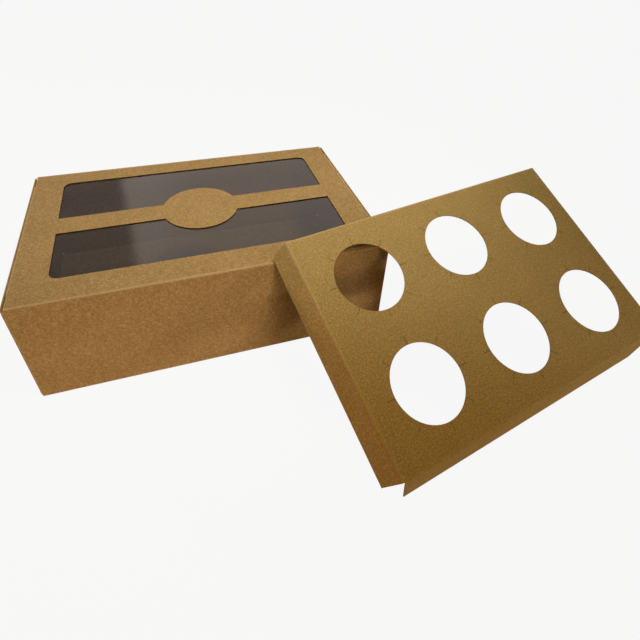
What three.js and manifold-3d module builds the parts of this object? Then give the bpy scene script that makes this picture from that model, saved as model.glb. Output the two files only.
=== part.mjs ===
// Kraft cupcake box with a windowed lid, and the six-hole insert that leans against it.
// Millimetres, +Z up. The origin is the middle of the box's base, on the table.
// X runs along the box's long side and -Y is its front.
import * as THREE from "three";
import { mergeVertices } from "three/addons/utils/BufferGeometryUtils.js";
import Module from "manifold-3d";

const wasm = await Module();
wasm.setup();

// Board and film
const board = 0.6;
const creaseRadius = 0.3;
const film = 0.2;
const glueLine = 0.1;
const slipGap = 0.3;

// Box
const boxLength = 240;
const boxDepth = 155;
const boxHeight = 78.5;
const frontInset = 1;
const earLength = 61;
const earFloorGap = 1;
const earTopGap = 4;
const earCornerCut = 6;

// Lid
const tuckDepth = 20;
const tuckLean = 10;
const tuckCorner = 12;
const tuckInset = 1.5;
const lidEarDepth = 28;
const lidEarFrontGap = 14;
const lidEarBackGap = 16;
const lidEarTaper = 9;

// Windows and the label disc between them
const windowLength = 195;
const windowCorner = 6;
const frontWindowDepth = 48.3;
const backWindowDepth = 50;
const bandWidth = 18.6;
const bandBehindMiddle = 1.7;
const labelRadius = 27.4;
const filmMargin = 7;

// Insert
const insertLength = 230;
const insertDepth = 152.4;
const holeRadius = 24;
const holePitchX = 74.5;
const holePitchY = 72.6;
const holeShiftX = 1.6;
const holeShiftY = -0.5;
const slitLength = 5.4;
const slitWidth = 0.3;
const slitsPerHole = 8;
const frontFlap = { depth: 30.5, splay: 16.2, taper: 7.8 };
const backFlap = { depth: 14.9, splay: -9.8, taper: 3 };
const sideFlap = { depth: 14.9, splay: 30.9, taper: 2 };

// Where the insert leans
const insertTurn = 11.4;
const insertFromMiddle = 44.7;
const restGap = 0.5;

// How finely curves are cut
const creaseSteps = 4;
const roundSteps = 8;
const labelSteps = 40;
const arcStepsBetweenSlits = 6;

const kraft = { color: 0xa8824e, roughness: 0.88, metalness: 0 };
const clearFilm = { color: 0xd8dcda, roughness: 0.08, metalness: 0, transparent: true, opacity: 0.25 };

const rad = THREE.MathUtils.degToRad;
const outerRadius = board + creaseRadius;
const halfLength = boxLength / 2;
const halfDepth = boxDepth / 2;

// Solids, joins and cuts

function solidOf(geometry) {
  const bare = geometry.clone();
  bare.deleteAttribute("normal");
  bare.deleteAttribute("uv");
  const merged = mergeVertices(bare, 1e-5);
  return new wasm.Manifold(new wasm.Mesh({
    numProp: 3,
    vertProperties: Float32Array.from(merged.attributes.position.array),
    triVerts: Uint32Array.from(merged.index.array),
  }));
}

function namedMesh(name, solid, finish) {
  const { vertProperties, triVerts } = solid.getMesh();
  const geometry = new THREE.BufferGeometry();
  geometry.setAttribute("position", new THREE.BufferAttribute(vertProperties, 3));
  geometry.setIndex(new THREE.BufferAttribute(triVerts, 1));
  const mesh = new THREE.Mesh(geometry, new THREE.MeshStandardMaterial(finish));
  mesh.name = name;
  return mesh;
}

function joined(solids) {
  return solids.reduce((whole, solid) => whole.add(solid));
}

// An outline drawn in two axes and pushed along the third
const planes = {
  xy: { axes: [[1, 0, 0], [0, 1, 0], [0, 0, 1]], sign: 1 },
  yz: { axes: [[0, 1, 0], [0, 0, 1], [1, 0, 0]], sign: 1 },
  xz: { axes: [[1, 0, 0], [0, 0, 1], [0, -1, 0]], sign: -1 },
};

function prism(shape, plane, from, to) {
  const { axes, sign } = planes[plane];
  const options = { depth: to - from, bevelEnabled: false, curveSegments: roundSteps };
  const geometry = new THREE.ExtrudeGeometry(shape, options);
  geometry.translate(0, 0, sign > 0 ? from : -to);
  const basis = axes.map((axis) => new THREE.Vector3(...axis));
  geometry.applyMatrix4(new THREE.Matrix4().makeBasis(...basis));
  return solidOf(geometry);
}

function polygon(points) {
  return new THREE.Shape(points.map(([x, y]) => new THREE.Vector2(x, y)));
}

// Board seen edge on: the pen walks along the outer face, with the inner face on its left or its right.
// A number is a straight run, and { fold } is a crease of so many degrees towards the inner face.
function boardSection(start, heading, innerSide, steps, roundEnd = false) {
  const turn = innerSide === "left" ? 1 : -1;
  const outer = [];
  const inner = [];
  let pen = new THREE.Vector2(...start);
  let angle = rad(heading);
  const inward = () => new THREE.Vector2(-Math.sin(angle) * turn, Math.cos(angle) * turn);
  const mark = () => {
    outer.push(pen.clone());
    inner.unshift(pen.clone().addScaledVector(inward(), board));
  };
  mark();
  for (const step of steps) {
    if (typeof step === "number") {
      pen.add(new THREE.Vector2(Math.cos(angle), Math.sin(angle)).multiplyScalar(step));
      mark();
      continue;
    }
    const centre = pen.clone().addScaledVector(inward(), outerRadius);
    for (let i = 0; i < creaseSteps; i += 1) {
      angle += (turn * rad(step.fold)) / creaseSteps;
      pen = centre.clone().addScaledVector(inward(), -outerRadius);
      mark();
    }
  }
  const end = [];
  if (roundEnd) {
    const middle = pen.clone().addScaledVector(inward(), board / 2);
    const ahead = new THREE.Vector2(Math.cos(angle), Math.sin(angle));
    for (let i = 1; i < roundSteps; i += 1) {
      const turned = (Math.PI * i) / roundSteps;
      const point = middle.clone().addScaledVector(ahead, (board / 2) * Math.sin(turned));
      end.push(point.addScaledVector(inward(), (-board / 2) * Math.cos(turned)));
    }
  }
  return new THREE.Shape([...outer, ...end, ...inner]);
}

// Length that a crease of this angle takes from each of the two panels that meet there
function creaseTake(fold) {
  return outerRadius * Math.tan(rad(fold) / 2);
}

// A flat panel from just past its middle out to a crease, and the flap folded there. way is 1 or -1 along the
// plane's first axis, and up is 1 where the flap is folded up and -1 where it is folded down.
function panelWithFlap({ plane, way, up, level = 0, reach, fold, depth, from, to }) {
  const overlap = 5;
  const take = creaseTake(fold);
  const section = boardSection(
    [-way * overlap, level], way > 0 ? 0 : 180, way * up > 0 ? "left" : "right",
    [overlap + reach - take, { fold }, depth - take],
  );
  return prism(section, plane, from, to);
}

// Tray: floor, four walls, and the side walls' ears glued inside the front and back walls

function makeTray() {
  const rim = boxHeight - slipGap;
  const backRim = boxHeight - board - slipGap;
  const earFace = halfDepth - board - glueLine;
  const wallEnd = earFace - outerRadius;
  const wallReach = halfLength - frontInset;
  const wide = { plane: "yz", up: 1, reach: halfDepth, fold: 90, from: -wallReach, to: wallReach };
  const side = { plane: "xz", up: 1, reach: halfLength, fold: 90, depth: rim, from: -wallEnd, to: wallEnd };
  return joined([
    panelWithFlap({ ...wide, way: -1, depth: rim }),
    panelWithFlap({ ...wide, way: 1, depth: backRim }),
    panelWithFlap({ ...side, way: -1 }),
    panelWithFlap({ ...side, way: 1 }),
    sideWallWithEars(1, earFace),
    sideWallWithEars(-1, earFace),
  ]);
}

function sideWallWithEars(way, earFace) {
  const bottom = board + earFloorGap;
  const top = boxHeight - earTopGap;
  const earEnd = halfLength - earLength;
  const past = halfLength + board;
  const ear = earLength - outerRadius;
  const section = boardSection(
    [way * earEnd, way * earFace], way > 0 ? 0 : 180, "right",
    [ear, { fold: 90 }, 2 * (earFace - outerRadius), { fold: 90 }, ear],
  );
  const earOutline = polygon([
    [way * (earEnd + earCornerCut), bottom],
    [way * past, bottom],
    [way * past, top],
    [way * (earEnd + earCornerCut), top],
    [way * earEnd, top - earCornerCut],
    [way * earEnd, bottom + earCornerCut],
  ]);
  return prism(section, "xy", bottom, top).intersect(prism(earOutline, "xz", -halfDepth, halfDepth));
}

// Lid: a panel that turns on its rounded back edge, a tuck flap inside the front wall, and two side ears

function makeLid() {
  const lidHalfLength = halfLength - board - slipGap;
  const panelHalfLength = lidHalfLength - creaseTake(90);
  const panel = prism(
    boardSection([0, boxHeight], 0, "right", [halfDepth - board / 2], true),
    "yz", -panelHalfLength, panelHalfLength,
  );
  return joined([panel, tuckFlap(lidHalfLength), lidEar(1, lidHalfLength), lidEar(-1, lidHalfLength)])
    .subtract(prism(windowOutline(1, backWindowDepth), "xy", boxHeight - 2 * board, boxHeight + board))
    .subtract(prism(windowOutline(-1, frontWindowDepth), "xy", boxHeight - 2 * board, boxHeight + board));
}

function tuckFlap(lidHalfLength) {
  const fold = 90 + tuckLean;
  const lidFront = halfDepth - board - slipGap;
  const half = lidHalfLength - tuckInset;
  const panelHalfLength = lidHalfLength - creaseTake(90);
  const low = boxHeight - tuckDepth * Math.cos(rad(tuckLean));
  const flapOutline = new THREE.Shape();
  flapOutline.moveTo(-panelHalfLength, boxHeight + board);
  flapOutline.lineTo(-panelHalfLength, boxHeight - outerRadius);
  flapOutline.lineTo(-half, boxHeight - outerRadius - tuckInset);
  flapOutline.absarc(-half + tuckCorner, low + tuckCorner, tuckCorner, Math.PI, 1.5 * Math.PI, false);
  flapOutline.absarc(half - tuckCorner, low + tuckCorner, tuckCorner, 1.5 * Math.PI, 2 * Math.PI, false);
  flapOutline.lineTo(half, boxHeight - outerRadius - tuckInset);
  flapOutline.lineTo(panelHalfLength, boxHeight - outerRadius);
  flapOutline.lineTo(panelHalfLength, boxHeight + board);
  return panelWithFlap({
    plane: "yz", way: -1, up: -1, level: boxHeight, reach: lidFront - outerRadius + creaseTake(fold), fold,
    depth: tuckDepth, from: -panelHalfLength, to: panelHalfLength,
  }).intersect(prism(flapOutline, "xz", -boxDepth, boxDepth));
}

function lidEar(way, lidHalfLength) {
  const front = lidEarFrontGap - halfDepth;
  const back = halfDepth - lidEarBackGap;
  const low = boxHeight - lidEarDepth;
  const earOutline = polygon([
    [front, boxHeight + board],
    [front, boxHeight - outerRadius],
    [front + lidEarTaper, low],
    [back - lidEarTaper, low],
    [back, boxHeight - outerRadius],
    [back, boxHeight + board],
  ]);
  return panelWithFlap({
    plane: "xz", way, up: -1, level: boxHeight, reach: lidHalfLength, fold: 90,
    depth: lidEarDepth, from: front, to: back,
  }).intersect(prism(earOutline, "yz", -boxLength, boxLength));
}

// A window's inner edge runs round the label disc, and its two outer corners are rounded
function windowOutline(way, depth) {
  const half = windowLength / 2;
  const near = bandWidth / 2;
  const far = near + depth;
  const discTurn = Math.asin(near / labelRadius);
  const points = [new THREE.Vector2(-half, near)];
  for (let i = 0; i <= labelSteps; i += 1) {
    const angle = Math.PI - discTurn - ((Math.PI - 2 * discTurn) * i) / labelSteps;
    points.push(new THREE.Vector2(Math.cos(angle), Math.sin(angle)).multiplyScalar(labelRadius));
  }
  points.push(new THREE.Vector2(half, near));
  for (const [sideways, start] of [[1, 0], [-1, Math.PI / 2]]) {
    for (let i = 0; i <= roundSteps; i += 1) {
      const angle = start + (Math.PI / 2) * (i / roundSteps);
      points.push(new THREE.Vector2(
        sideways * (half - windowCorner) + windowCorner * Math.cos(angle),
        far - windowCorner + windowCorner * Math.sin(angle),
      ));
    }
  }
  return new THREE.Shape(points.map(({ x, y }) => new THREE.Vector2(x, bandBehindMiddle + way * y)));
}

// One sheet of clear film glued under both windows

function makeFilm() {
  const half = windowLength / 2 + filmMargin;
  const front = bandBehindMiddle - bandWidth / 2 - frontWindowDepth - filmMargin;
  const back = bandBehindMiddle + bandWidth / 2 + backWindowDepth + filmMargin;
  const sheet = polygon([[-half, front], [half, front], [half, back], [-half, back]]);
  const top = boxHeight - board - glueLine;
  return prism(sheet, "xy", top - film, top);
}

// Insert, modelled flat and about the middle of its plate's upper face: four flaps are folded down

function makeInsert() {
  const sideTake = creaseTake(90 - sideFlap.splay);
  const halfPlate = insertLength / 2 - sideTake;
  const acrossPlate = insertDepth / 2 - creaseTake(90);
  const wide = { plane: "yz", up: -1, reach: insertDepth / 2, from: -halfPlate, to: halfPlate };
  const narrow = { plane: "xz", up: -1, reach: insertLength / 2, from: -acrossPlate, to: acrossPlate };
  const sheet = joined([
    insertFlap({ ...wide, way: -1 }, frontFlap),
    insertFlap({ ...wide, way: 1 }, backFlap),
    insertFlap({ ...narrow, way: -1 }, sideFlap),
    insertFlap({ ...narrow, way: 1 }, sideFlap),
  ]);
  let punched = sheet;
  for (const column of [-1, 0, 1]) {
    for (const row of [-0.5, 0.5]) {
      const centre = [holeShiftX + column * holePitchX, holeShiftY + row * holePitchY];
      punched = punched.subtract(prism(slitHole(...centre), "xy", -2 * board, board));
    }
  }
  return punched;
}

function insertFlap(place, { depth, splay, taper }) {
  const low = -depth * Math.cos(rad(splay));
  const { from, to } = place;
  const flapOutline = polygon([
    [from, board], [from, -outerRadius], [from + taper, low - board],
    [to - taper, low - board], [to, -outerRadius], [to, board],
  ]);
  const across = place.plane === "yz" ? "xz" : "yz";
  return panelWithFlap({ ...place, fold: 90 - splay, depth })
    .intersect(prism(flapOutline, across, -insertLength, insertLength));
}

// A round hole whose rim is slit outwards, so that it gives when a cup is pressed in
function slitHole(x, y) {
  const points = [];
  const slitTurn = (2 * Math.PI) / slitsPerHole;
  const slitEnd = holeRadius + slitLength;
  const rimTurn = Math.asin(slitWidth / 2 / holeRadius);
  const endTurn = Math.asin(slitWidth / 2 / slitEnd);
  const add = (radius, angle) => {
    points.push(new THREE.Vector2(x + radius * Math.cos(angle), y + radius * Math.sin(angle)));
  };
  for (let slit = 0; slit < slitsPerHole; slit += 1) {
    const angle = slit * slitTurn;
    add(slitEnd, angle - endTurn);
    add(slitEnd, angle + endTurn);
    for (let i = 0; i <= arcStepsBetweenSlits; i += 1) {
      add(holeRadius, angle + rimTurn + ((slitTurn - 2 * rimTurn) * i) / arcStepsBetweenSlits);
    }
  }
  return new THREE.Shape(points);
}

// The insert's front flap stands on the table and its back flap stands on the lid. Its tilt is the angle at
// which both just touch, and its place is where the left flap's edge crosses the box's front top edge.
function leanInsert(mesh) {
  const [front, back, side] = [frontFlap, backFlap, sideFlap].map(({ depth, splay }) => ({
    out: depth * Math.sin(rad(splay)),
    down: depth * Math.cos(rad(splay)),
    skinOut: board * Math.cos(rad(splay)),
    skinDown: board * Math.sin(rad(splay)),
  }));
  const lidTop = boxHeight + restGap;
  const cosPart = back.down + back.skinDown - front.down;
  const sinPart = insertDepth + back.out - back.skinOut + front.out;
  const tilt = Math.atan2(cosPart, sinPart) + Math.asin(lidTop / Math.hypot(cosPart, sinPart));
  mesh.rotation.set(tilt, 0, rad(insertTurn), "ZXY");

  const turned = (x, y, z) => new THREE.Vector3(x, y, z).applyEuler(mesh.rotation);
  const frontFold = front.down * Math.cos(tilt) + front.out * Math.sin(tilt);
  const backFold = frontFold + insertDepth * Math.sin(tilt);
  const uphill = turned(0, 1, 0);
  const cornerToEdge = turned(side.skinOut - side.out, -sideFlap.taper, -side.down - side.skinDown);
  const edgeHeight = backFold + cornerToEdge.z;
  const edgeY = ((edgeHeight - lidTop) * uphill.y) / uphill.z - halfDepth;
  const corner = new THREE.Vector3(insertFromMiddle, edgeY - cornerToEdge.y, backFold);
  mesh.position.copy(corner.sub(turned(-insertLength / 2, insertDepth / 2, 0)));
}

const box = new THREE.Group();
const tray = namedMesh("tray", makeTray(), kraft);
const lid = namedMesh("lid", makeLid(), kraft);
const windowFilm = namedMesh("window_film", makeFilm(), clearFilm);
const insert = namedMesh("insert", makeInsert(), kraft);
leanInsert(insert);
box.add(tray, lid, windowFilm, insert);

export default box;
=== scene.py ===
# Kraft cupcake box with film windows, and its six-hole insert leaning on it
# Metres, +Z up, -Y is the front of the box

import math
from functools import partial

import bmesh
import bpy
from mathutils import Matrix, Vector


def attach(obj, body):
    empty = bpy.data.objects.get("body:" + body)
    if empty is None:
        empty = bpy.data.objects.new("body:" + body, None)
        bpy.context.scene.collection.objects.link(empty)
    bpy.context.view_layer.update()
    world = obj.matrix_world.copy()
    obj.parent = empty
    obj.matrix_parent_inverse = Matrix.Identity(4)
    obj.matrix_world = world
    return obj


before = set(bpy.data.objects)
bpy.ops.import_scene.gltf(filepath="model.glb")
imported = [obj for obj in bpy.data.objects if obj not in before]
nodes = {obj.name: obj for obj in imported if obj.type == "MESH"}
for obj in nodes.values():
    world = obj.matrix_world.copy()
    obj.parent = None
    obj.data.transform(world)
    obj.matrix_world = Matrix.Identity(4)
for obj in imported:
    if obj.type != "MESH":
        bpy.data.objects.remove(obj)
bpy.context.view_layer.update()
print("frame loaded")

mm = 0.001


# Camera

cameraView = {
    "place": (-17.136, -308.489, 277.041),  # mm
    "turn": -20.235,  # degrees from straight on
    "lookDown": 37.062,  # degrees
    "roll": 3.065,  # degrees
    "lens": 26.793,  # mm
    "sensor": 36,  # mm
    "shift": (-0.0009, -0.1239),
    "nearest": 10,  # mm, nothing closer is drawn
}


def makeCamera(view):
    turn, down, roll = (math.radians(view[key]) for key in ("turn", "lookDown", "roll"))
    back = Vector((math.sin(turn) * math.cos(down), -math.cos(turn) * math.cos(down), math.sin(down)))
    right = (-back).cross(Vector((0, 0, 1))).normalized()
    up = right.cross(-back)
    rolledRight = right * math.cos(roll) + up * math.sin(roll)
    rolledUp = up * math.cos(roll) - right * math.sin(roll)
    data = bpy.data.cameras.new("camera")
    data.sensor_width = view["sensor"]
    data.lens = view["lens"]
    data.shift_x, data.shift_y = view["shift"]
    data.clip_start = view["nearest"] * mm
    camera = bpy.data.objects.new("camera", data)
    axes = Matrix((rolledRight, rolledUp, back)).transposed().to_4x4()
    camera.matrix_world = Matrix.Translation(Vector(view["place"]) * mm) @ axes
    bpy.context.collection.objects.link(camera)
    bpy.context.scene.camera = camera


makeCamera(cameraView)
print("camera placed")


# Material helpers

# sRGB hex to linear, with alpha
def linear(hexColour):
    channels = [int(hexColour[i:i + 2], 16) / 255 for i in (1, 3, 5)]
    return (*[c / 12.92 if c <= 0.04045 else ((c + 0.055) / 1.055) ** 2.4 for c in channels], 1)


def newMaterial(name):
    material = bpy.data.materials.new(name)
    material.use_nodes = True
    material.node_tree.nodes.clear()
    return material


mixFactor, mixBelow, mixAbove = 0, 6, 7  # a Mix node's inputs where it mixes colours


# Adds a node to a material or the world. Its inputs are values, or sockets to link, by name or in order,
# and its properties are keywords. It gives back the output named, or the first one that the node uses.
def addNode(owner, kind, inputs=(), output=None, **properties):
    node = owner.node_tree.nodes.new("ShaderNode" + kind)
    for key, value in properties.items():
        setattr(node, key, value)
    for key, value in inputs.items() if isinstance(inputs, dict) else enumerate(inputs):
        if isinstance(value, bpy.types.NodeSocket):
            owner.node_tree.links.new(value, node.inputs[key])
        else:
            node.inputs[key].default_value = value
    return node.outputs[output] if output else next((out for out in node.outputs if out.enabled), None)


def paint(node, material):
    node.data.materials.clear()
    node.data.materials.append(material)


# Kraft board: unbleached recycled pulp, matt, with pale and dark fibres pressed flat in it

kraftBoard = {
    "base": "#AA8652",
    "pale": "#C9A46C",
    "dark": "#80592B",
    "worn": "#CDAA75",
    "fleckSize": 1.1,  # mm, real ones are about 0.3 mm and would be too fine to show
    "darkLevels": (0.47, 0.34),  # of the noise, where a fleck starts and where it is full
    "darkShare": 0.4,
    "paleLevels": (0.53, 0.68),
    "paleShare": 0.75,
    "fibreLength": 5.0,  # mm
    "fibreWidth": 0.8,  # mm, coarser than the real 0.05 mm so that it shows
    "fibreTurns": (8, 66, -52),  # degrees, most lie one way in the sheet and some cross them
    "fibreLevels": (0.58, 0.72),
    "fibreShare": 0.3,
    "cloudSize": 24,  # mm, the pulp's uneven density
    "cloudDepth": 0.045,
    "wornWidth": 1.9,  # mm each side of a crease
    "wornCore": 0.9,  # mm each side, worn all the way
    "roughness": 0.82,
    "roughnessSpread": 0.06,
    "ior": 1.45,
    "gloss": 0.12,
    "fibreHeight": 0.05,  # mm
    "bumpStrength": 0.5,
}
noiseLevels = (0.3, 0.7)  # nearly all of a noise lies between them


# Shade along the slits that run out from each cup hole's rim
def slitShade(material, place, holes):
    add = partial(addNode, material)
    pitchX, pitchY = (pitch * mm for pitch in holes["pitch"])
    axes = add("SeparateXYZ", [place]).node.outputs
    fromMiddle = [add("Math", [axes[i], holes["shift"][i] * mm], operation="SUBTRACT") for i in (0, 1)]

    # The middle of the nearest hole, and the way from there
    columnX = fromMiddle[0]
    for operation, other in (("DIVIDE", pitchX), ("ROUND", 0), ("MAXIMUM", holes["columns"][0]),
                             ("MINIMUM", holes["columns"][-1]), ("MULTIPLY", pitchX)):
        columnX = add("Math", [columnX, other], operation=operation)
    rowSide = add("Math", [fromMiddle[1]], operation="SIGN")
    rowY = add("Math", [rowSide, pitchY * holes["rows"][-1]], operation="MULTIPLY")
    x = add("Math", [fromMiddle[0], columnX], operation="SUBTRACT")
    y = add("Math", [fromMiddle[1], rowY], operation="SUBTRACT")
    squares = [add("Math", [side, side], operation="MULTIPLY") for side in (x, y)]
    radius = add("Math", [add("Math", squares, operation="ADD")], operation="SQRT")

    # How far aside the nearest slit lies, along the arc
    slitTurn = 2 * math.pi / holes["slits"]
    turns = add("Math", [add("Math", [y, x], operation="ARCTAN2"), slitTurn], operation="DIVIDE")
    wholeTurns = add("Math", [turns], operation="ROUND")
    aside = add("Math", [turns, wholeTurns], operation="SUBTRACT")
    for operation, other in (("ABSOLUTE", 0), ("MULTIPLY", slitTurn), ("MULTIPLY", radius)):
        aside = add("Math", [aside, other], operation=operation)

    near = add("MapRange", [aside, holes["shadeWidth"] * mm, holes["shadeCore"] * mm, 0, holes["shadeShare"]])
    within = add("Math", [radius, holes["slitEnd"] * mm], operation="LESS_THAN")
    return add("Math", [near, within], operation="MULTIPLY")


# A crease is the axis it runs along, a point on it in mm, and how worn it is
def boardMaterial(name, look, creases, local=None, holes=None):
    material = newMaterial(name)
    add = partial(addNode, material)

    place = add("TexCoord", output="Object")
    if local:  # the board's own axes where it stands at a tilt
        place = add("Mapping", {"Vector": place, "Location": local[0], "Rotation": local[1]},
                    vector_type="TEXTURE")

    clouds = add("TexNoise", {"Vector": place, "Scale": 1 / (look["cloudSize"] * mm), "Detail": 3})
    flecks = add("TexNoise", {"Vector": place, "Scale": 1 / (look["fleckSize"] * mm), "Detail": 2})
    length, width = look["fibreLength"] * mm, look["fibreWidth"] * mm
    fibres = 0
    for turn in look["fibreTurns"]:
        along = add("VectorRotate", {"Vector": place, "Angle": math.radians(turn)}, rotation_type="Z_AXIS")
        stretched = add("VectorMath", [along, (1 / length, 1 / width, 1 / width)], operation="MULTIPLY")
        strand = add("TexNoise", {"Vector": stretched, "Scale": 1, "Detail": 1})
        strand = add("MapRange", [strand, *look["fibreLevels"]])
        fibres = add("Math", [fibres, strand], operation="MAXIMUM")

    darkShare = add("MapRange", [flecks, *look["darkLevels"], 0, look["darkShare"]])
    paleShare = add("MapRange", [flecks, *look["paleLevels"], 0, look["paleShare"]])
    fibreShare = add("Math", [fibres, look["fibreShare"]], operation="MULTIPLY")
    colour = linear(look["base"])
    for share, tone in ((darkShare, look["dark"]), (paleShare, look["pale"]), (fibreShare, look["pale"])):
        colour = add("Mix", {mixFactor: share, mixBelow: colour, mixAbove: linear(tone)}, data_type="RGBA")
    cloudTone = add("MapRange", [clouds, *noiseLevels, 1 - look["cloudDepth"], 1 + look["cloudDepth"]])
    colour = add("VectorMath", {0: colour, "Scale": cloudTone}, operation="SCALE")

    # Rubbed paler along each crease, and shaded along each slit
    layers = []
    for along, at, wear in creases:
        keep = [0 if axis == along else 1 for axis in "xyz"]
        across = add("VectorMath", [place, keep], operation="MULTIPLY")
        away = add("VectorMath", [across, [c * mm for c in at]], operation="DISTANCE")
        worn = add("MapRange", [away, look["wornWidth"] * mm, look["wornCore"] * mm, 0, wear])
        layers.append((worn, look["worn"]))
    if holes:
        layers.append((slitShade(material, place, holes), holes["shade"]))
    for share, tone in layers:
        colour = add("Mix", {mixFactor: share, mixBelow: colour, mixAbove: linear(tone)}, data_type="RGBA")

    if "paintedShadeTint" in look:  # painted shade: the sheet darker and more saturated towards one corner, where the light falls off
        forward = add("VectorMath", [place, look["paintedShadeWay"]], operation="DOT_PRODUCT")
        paintedShadeShare = add("MapRange", [forward, look["paintedShadeFrom"] * mm, look["paintedShadeTo"] * mm])
        level = add("SeparateXYZ", [place], "Z")
        onPlate = add("MapRange", [level, look["flapTop"] * mm, look["plateBottom"] * mm, look["flapShare"]])
        paintedShadeShare = add("Math", [paintedShadeShare, onPlate], operation="MULTIPLY")
        tint = add("Mix", {mixFactor: paintedShadeShare, mixBelow: linear("#FFFFFF"), mixAbove: linear(look["paintedShadeTint"])},
                   data_type="RGBA")
        colour = add("VectorMath", [colour, tint], operation="MULTIPLY")

    if "window" in look:  # painted shade on the die-cut edges, which lie in their own shade above the film
        facing = add("SeparateXYZ", [add("TexCoord", output="Normal")], "Z")
        facing = add("Math", [facing], operation="ABSOLUTE")
        upright = add("MapRange", [facing, *look["uprightLevels"]])
        axes = add("SeparateXYZ", [place]).node.outputs
        for axis, half in enumerate(look["window"]):
            off = add("Math", [axes[axis]], operation="ABSOLUTE")
            within = add("Math", [off, half * mm], operation="LESS_THAN")
            upright = add("Math", [upright, within], operation="MULTIPLY")
        colour = add("Mix", {mixFactor: upright, mixBelow: colour, mixAbove: linear(look["cutEdge"])},
                     data_type="RGBA")

    height = add("Math", [flecks, fibres], operation="ADD")
    bump = add("Bump", {"Height": height, "Strength": look["bumpStrength"],
                        "Distance": look["fibreHeight"] * mm})
    smoothest, roughest = (look["roughness"] + way * look["roughnessSpread"] for way in (-1, 1))
    roughness = add("MapRange", [flecks, *noiseLevels, smoothest, roughest])
    surface = add("BsdfPrincipled", {"Base Color": colour, "Roughness": roughness, "IOR": look["ior"],
                                     "Specular IOR Level": look["gloss"], "Normal": bump})
    add("OutputMaterial", {"Surface": surface})
    return material


# Where the creases lie, in mm
boxEdge = {"front": -76.6, "back": 77.2, "side": 119.1, "top": 78.5, "trayFront": -77.5, "traySide": 120}

paint(nodes["tray"], boardMaterial("kraftBoardTray", kraftBoard, [
    ("z", (-boxEdge["traySide"], boxEdge["trayFront"], 0), 0.5),
    ("z", (boxEdge["traySide"], boxEdge["trayFront"], 0), 0.5),
    ("x", (0, boxEdge["trayFront"], 0), 0.4),
]))
lidBoard = {
    **kraftBoard,
    "window": (108, 66),  # mm, half the rectangle that the windows lie in
    # painted shade for the windows' die-cut edges
    "cutEdge": "#2A1B0C",
    "uprightLevels": (0.6, 0.4),  # the normal's Z where a face starts to be an edge, and where it is one
}
paint(nodes["lid"], boardMaterial("kraftBoardLid", lidBoard, [
    ("x", (0, boxEdge["front"], boxEdge["top"]), 0.5),
    ("x", (0, boxEdge["back"], boxEdge["top"]), 0.5),
    ("y", (-boxEdge["side"], 0, boxEdge["top"]), 0.5),
    ("y", (boxEdge["side"], 0, boxEdge["top"]), 0.5),
]))

insertPlace = {
    "middle": (171.128, -120.940, 61.867),  # mm, of the plate's upper face
    "tilt": 24.577,  # degrees
    "turn": 11.4,  # degrees
    "halfLength": 115.0,  # mm, to the creases
    "halfDepth": 76.2,  # mm
}
insertTurn = Matrix.Rotation(math.radians(insertPlace["turn"]), 4, "Z")
insertTilt = Matrix.Rotation(math.radians(insertPlace["tilt"]), 4, "X")
insertAngles = (insertTurn @ insertTilt).to_euler("XYZ")
insertBoard = {
    **kraftBoard,
    "base": "#A4884D",
    # painted shade, multiplied in more deeply towards the plate's front-left corner, where the light falls
    # off
    "paintedShadeTint": "#EEE4BE",
    "paintedShadeWay": (-0.55, -0.83, 0),  # towards the plate's front-left corner
    "paintedShadeFrom": 15,  # mm from the plate's middle
    "paintedShadeTo": 90,  # mm
    "plateBottom": -1,  # mm, below it the flaps begin
    "flapTop": -2.5,  # mm, below it the flaps take less of the painted shade
    "flapShare": 0.4,
}
cupHoles = {
    "pitch": (74.5, 72.6),  # mm
    "shift": (1.6, -0.5),  # mm
    "columns": (-1, 0, 1),  # pitches from the middle
    "rows": (-0.5, 0.5),
    "slits": 8,
    "slitEnd": 29.6,  # mm from the hole's middle
    "shade": "#63471D",
    "shadeShare": 0.35,
    "shadeWidth": 0.6,  # mm each side of a slit, where the cut board lies in its own shadow
    "shadeCore": 0.25,  # mm each side, in full shade
}
paint(nodes["insert"], boardMaterial("kraftBoardInsert", insertBoard, [
    ("x", (0, insertPlace["halfDepth"], 0), 0.5),
    ("x", (0, -insertPlace["halfDepth"], 0), 0.1),
    ("y", (-insertPlace["halfLength"], 0, 0), 0.2),
    ("y", (insertPlace["halfLength"], 0, 0), 0.2),
], local=([c * mm for c in insertPlace["middle"]], tuple(insertAngles)), holes=cupHoles))
print("board painted")


def makePiece(name, shape):
    mesh = bpy.data.meshes.new(name)
    shape.to_mesh(mesh)
    shape.free()
    piece = bpy.data.objects.new(name, mesh)
    bpy.context.collection.objects.link(piece)
    return piece


# One piece of several thin boards, each with its size and its place in mm
def makeBoards(name, boards, stand=Matrix()):
    shape = bmesh.new()
    for size, place in boards:
        bmesh.ops.create_cube(shape, size=1, matrix=place @ Matrix.Diagonal((*size, 1)))
    bmesh.ops.transform(shape, matrix=Matrix.Scale(mm, 4) @ stand, verts=shape.verts)
    return makePiece(name, shape)


# The real slits are cuts with no width, so the board's cut edges close the model's slits, in darker kraft
# that is painted shade for the cuts
shadedSlitEdges = {
    "rimRadius": 24,  # mm
    "length": 5.4,  # mm
    "width": 0.28,  # mm
    "top": -0.06,  # mm from the plate's upper face
    "bottom": -0.56,  # mm
    # darker kraft: painted shade in the closed cuts
    "base": "#76562A",
}


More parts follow.
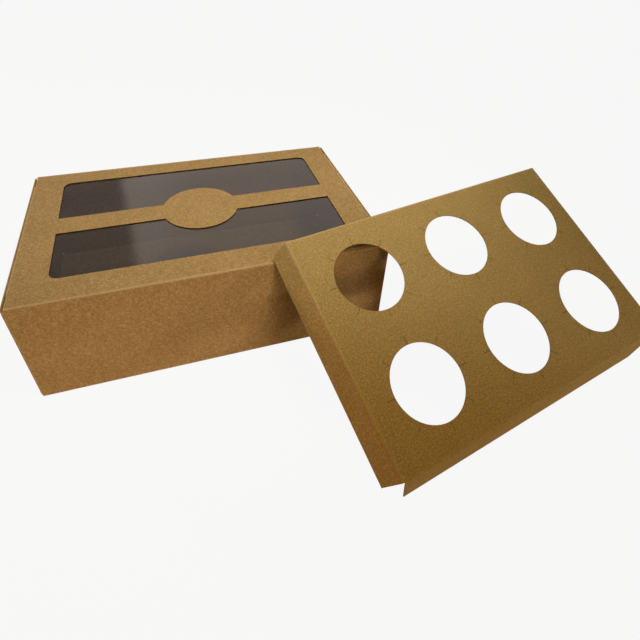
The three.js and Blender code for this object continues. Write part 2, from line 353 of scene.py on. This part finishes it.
def makeSlitEdges():
    size = (shadedSlitEdges["length"], shadedSlitEdges["width"], shadedSlitEdges["top"] - shadedSlitEdges["bottom"])
    reach = shadedSlitEdges["rimRadius"] + shadedSlitEdges["length"] / 2
    height = (shadedSlitEdges["top"] + shadedSlitEdges["bottom"]) / 2
    boards = []
    for column in cupHoles["columns"]:
        for row in cupHoles["rows"]:
            x = cupHoles["shift"][0] + column * cupHoles["pitch"][0]
            y = cupHoles["shift"][1] + row * cupHoles["pitch"][1]
            for slit in range(cupHoles["slits"]):
                turned = Matrix.Rotation(2 * math.pi * slit / cupHoles["slits"], 4, "Z")
                outwards = Matrix.Translation((reach, 0, 0))
                boards.append((size, Matrix.Translation((x, y, height)) @ turned @ outwards))
    stand = Matrix.Translation(insertPlace["middle"]) @ insertTurn @ insertTilt
    piece = makeBoards("shadedSlitEdges", boards, stand)
    paint(piece, boardMaterial("kraftBoardSlitShade", {**kraftBoard, "base": shadedSlitEdges["base"]}, []))
    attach(piece, "lid")


makeSlitEdges()
print("slits closed")


# Where four folds meet, the floor's corners would let the light through as pinholes
cornerFolds = {
    "outer": (119.3, 77.1),  # mm
    "size": 7,  # mm
    "bottom": 0.6,  # mm, on the floor
    "top": 0.85,  # mm
}


def makeCornerFolds():
    thickness = cornerFolds["top"] - cornerFolds["bottom"]
    size = (cornerFolds["size"], cornerFolds["size"], thickness)
    x, y = (outer - cornerFolds["size"] / 2 for outer in cornerFolds["outer"])
    height = cornerFolds["bottom"] + thickness / 2
    boards = [(size, Matrix.Translation((wayX * x, wayY * y, height)))
              for wayX in (-1, 1) for wayY in (-1, 1)]
    piece = makeBoards("cornerFolds", boards)
    paint(piece, nodes["tray"].data.materials[0])
    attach(piece, "box")


makeCornerFolds()
print("corners closed")


# The real lid's sides press against the side walls, so a thin lining takes up the model's slip gap there
sideLinings = {
    "inner": 119.13,  # mm
    "outer": 119.45,  # mm
    "halfDepth": 75.4,  # mm
    "bottom": 49.0,  # mm
    "top": 78.2,  # mm
}


def makeSideLinings():
    size = (sideLinings["outer"] - sideLinings["inner"], 2 * sideLinings["halfDepth"],
            sideLinings["top"] - sideLinings["bottom"])
    x = (sideLinings["outer"] + sideLinings["inner"]) / 2
    height = (sideLinings["top"] + sideLinings["bottom"]) / 2
    boards = [(size, Matrix.Translation((way * x, 0, height))) for way in (-1, 1)]
    piece = makeBoards("sideLinings", boards)
    paint(piece, nodes["tray"].data.materials[0])
    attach(piece, "box")


makeSideLinings()
print("sides lined")


# Window film: clear oriented polypropylene, smooth, with slow waves that bend what it mirrors

windowFilm = {
    "tint": "#E6E7E8",
    "inwards": "#9E9E9E",  # how much of the lamps' light it lets into the shut box, dim as in the photo
    "upperFace": -0.5,  # the normal's Z below which a ray is leaving through the upper face
    "ior": 1.75,  # about 1.5 in the real film, raised because one face here mirrors for both
    "shine": "#FFF2EA",
    "roughness": 0.06,
    "waveSize": 45,  # mm
    "waveHeight": 0.25,  # mm
}


def filmMaterial(look):
    material = newMaterial("clearFilm")
    add = partial(addNode, material)

    place = add("TexCoord", output="Object")
    waves = add("TexNoise", {"Vector": place, "Scale": 1 / (look["waveSize"] * mm), "Detail": 1})
    normal = add("Bump", {"Height": waves, "Distance": look["waveHeight"] * mm})
    mirrored = add("Fresnel", {"IOR": look["ior"], "Normal": normal})
    backfacing = add("NewGeometry", output="Backfacing")
    outer = add("Math", [1, backfacing], operation="SUBTRACT")  # only the face that a ray meets first mirrors
    shineShare = add("Math", [mirrored, outer], operation="MULTIPLY")

    # A shadow ray from inside the shut box to a lamp meets the upper face from behind, and there the
    # renderer turns the normal round
    facing = add("SeparateXYZ", [add("TexCoord", output="Normal")], "Z")
    leaving = add("Math", [facing, look["upperFace"]], operation="LESS_THAN")
    for other in (backfacing, add("LightPath", output="Is Shadow Ray")):
        leaving = add("Math", [leaving, other], operation="MULTIPLY")
    passed = add("Mix", {mixFactor: leaving, mixBelow: linear(look["tint"]),
                         mixAbove: linear(look["inwards"])}, data_type="RGBA")
    clear = add("BsdfTransparent", {"Color": passed})
    shine = add("BsdfAnisotropic", {"Color": linear(look["shine"]), "Roughness": look["roughness"],
                                    "Normal": normal})
    add("OutputMaterial", {"Surface": add("MixShader", [shineShare, clear, shine])})
    return material


paint(nodes["window_film"], filmMaterial(windowFilm))
print("film painted")


# Studio: pale floor, soft lamps, white behind

studio = {
    "floorSize": 6000,  # mm
    "floor": "#BBB4A8",
    "backdrop": "#FFFFFF",
    "backdropShare": 0.92,  # how far the floor goes towards the backdrop's white where the camera sees it
    "skyLight": 0.2,
    "skyColour": "#FFF2D2",
    "farWall": "#9D9DA0",  # what the film mirrors on its left, beside the white
    "wallEdge": (-0.101, -0.084),  # sideways part of the direction, where grey turns to white
    "rightWall": "#EEECEA",  # and on its right
    "rightEdge": (-0.05, 0.06),
}


def makeFloor(look):
    shape = bmesh.new()
    bmesh.ops.create_grid(shape, x_segments=1, y_segments=1, size=look["floorSize"] * mm / 2)
    floor = makePiece("floor", shape)
    material = newMaterial("paleFloor")
    add = partial(addNode, material)
    matt = add("BsdfDiffuse", {"Color": linear(look["floor"])})
    white = add("Emission", {"Color": linear(look["backdrop"]), "Strength": 1})
    seen = add("LightPath", output="Is Camera Ray")
    share = add("Math", [seen, look["backdropShare"]], operation="MULTIPLY")
    add("OutputMaterial", {"Surface": add("MixShader", [share, matt, white])})
    paint(floor, material)


def makeSky(look):
    world = bpy.data.worlds.new("studio")
    bpy.context.scene.world = world
    world.use_nodes = True
    world.node_tree.nodes.clear()
    add = partial(addNode, world)
    path = add("LightPath").node.outputs
    seen = path["Is Camera Ray"]
    for other in ("Is Glossy Ray", "Is Transmission Ray"):
        seen = add("Math", [seen, path[other]], operation="MAXIMUM")
    light = add("Background", {"Color": linear(look["skyColour"]), "Strength": look["skyLight"]})
    sideways = add("SeparateXYZ", [add("TexCoord", output="Generated")], "X")
    behind = linear(look["farWall"])
    for share, colour in ((add("MapRange", [sideways, *look["wallEdge"]]), look["backdrop"]),
                          (add("MapRange", [sideways, *look["rightEdge"]]), look["rightWall"]),
                          (path["Is Camera Ray"], look["backdrop"])):
        behind = add("Mix", {mixFactor: share, mixBelow: behind, mixAbove: linear(colour)}, data_type="RGBA")
    white = add("Background", {"Color": behind, "Strength": 1})
    add("OutputWorld", {"Surface": add("MixShader", [seen, light, white])})


# Lengths in mm, cones in degrees, power in watts
overheadSpot = {
    "place": (120, -165, 535),
    "aim": (15, 190, 50),  # so that the front end of the insert falls off
    "radius": 60,
    "cone": 88,
    "power": 6.9,
    "colour": "#F8FCFD",
}
frontFill = {
    "place": (230, -1500, 420),
    "aim": (-260, -77, 30),
    "radius": 370,
    "cone": 44,
    "power": 46.0,
    "colour": "#FFE6D2",
}
leftFill = {
    "place": (-1500, -600, 260),
    "aim": (88, -185, 35),
    "radius": 120,
    "cone": 12,
    "power": 25.0,
    "colour": "#FFB88A",
}
rightFill = {
    "place": (1500, -1100, 420),
    "aim": (302, -180, 30),
    "radius": 80,
    "cone": 12,
    "power": 32.0,
    "colour": "#FFF4E4",
}
rearFill = {
    "place": (-1050, 1200, 420),
    "aim": (0, 60, 40),
    "radius": 160,
    "cone": 32,
    "power": 39.0,
    "colour": "#FFFFFF",
}


def makeLamp(name, lamp):
    data = bpy.data.lights.new(name, "SPOT")
    data.spot_size = math.radians(lamp["cone"])
    data.spot_blend = 1  # soft from its middle to its edge
    data.shadow_soft_size = lamp["radius"] * mm
    data.energy = lamp["power"]
    data.color = linear(lamp["colour"])[:3]
    light = bpy.data.objects.new(name, data)
    place, aim = Vector(lamp["place"]) * mm, Vector(lamp["aim"]) * mm
    turned = (aim - place).to_track_quat("-Z", "Y").to_matrix().to_4x4()
    light.matrix_world = Matrix.Translation(place) @ turned
    light.visible_camera = False
    bpy.context.collection.objects.link(light)


bpy.context.scene.view_settings.view_transform = "Standard"
makeFloor(studio)
makeSky(studio)
makeLamp("overheadSpot", overheadSpot)
makeLamp("frontFill", frontFill)
makeLamp("leftFill", leftFill)
makeLamp("rightFill", rightFill)
makeLamp("rearFill", rearFill)
print("studio lit")
